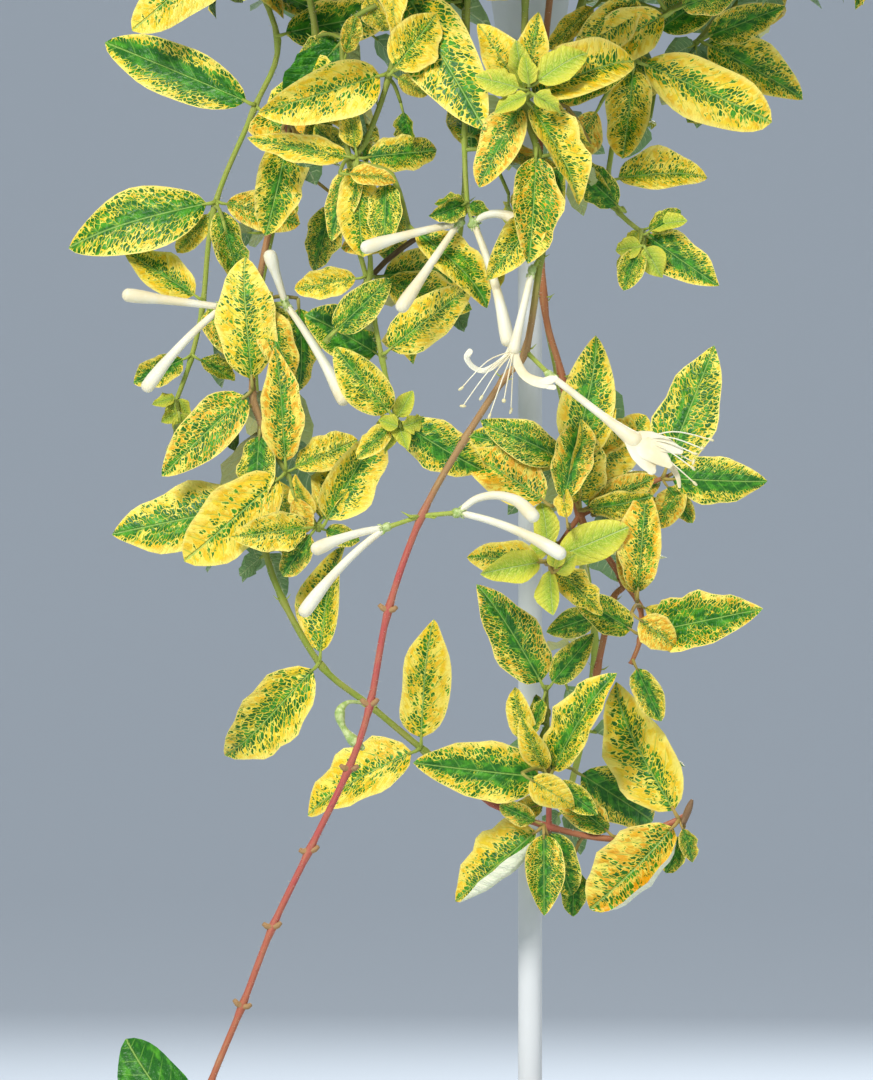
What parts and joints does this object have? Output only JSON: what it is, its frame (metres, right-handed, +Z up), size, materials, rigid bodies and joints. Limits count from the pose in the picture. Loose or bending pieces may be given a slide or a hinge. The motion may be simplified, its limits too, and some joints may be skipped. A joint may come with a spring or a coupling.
{
  "type": "potted trailing honeysuckle",
  "caption": "Honeysuckle with yellow-netted leaves and cream tubular flowers, trailing over the rim of a plain pot that stands on a slim pedestal stand.",
  "frame": {"origin": "centre of the flat underside of the stand's round base, where it stands on the floor", "axes": "+Z up; the side of the plant that the picture shows faces -Y, and +X is to the right of it in the picture"},
  "size_m": [0.2885, 0.2579, 0.6451],
  "materials": {
    "stand_paint": "satin",
    "pot_plastic": "satin",
    "compost": "matte",
    "bark": "matte",
    "foliage": "satin"
  },
  "bodies": {
    "root": {"stand_base": "stand_paint", "stand_post": "stand_paint", "stand_head": "stand_paint", "saucer": "pot_plastic", "pot": "pot_plastic", "compost": "compost", "trunk": "bark", "bough_left": "bark", "bough_left_front": "bark", "bough_front_left": "bark", "bough_front": "bark", "bough_long_shoot": "bark", "bough_centre": "bark", "bough_right_front": "bark", "bough_right": "bark", "bough_back_right": "bark", "bough_back": "bark", "bough_back_middle": "bark", "bough_back_left": "bark", "foliage_left": "foliage", "foliage_left_front": "foliage", "foliage_front_left": "foliage", "foliage_front": "foliage", "foliage_long_shoot": "foliage", "foliage_centre": "foliage", "foliage_right_front": "foliage", "foliage_right": "foliage", "foliage_back_right": "foliage", "foliage_back": "foliage", "foliage_back_middle": "foliage", "foliage_back_left": "foliage", "foliage_crown": "foliage"}
  },
  "joints": []
}
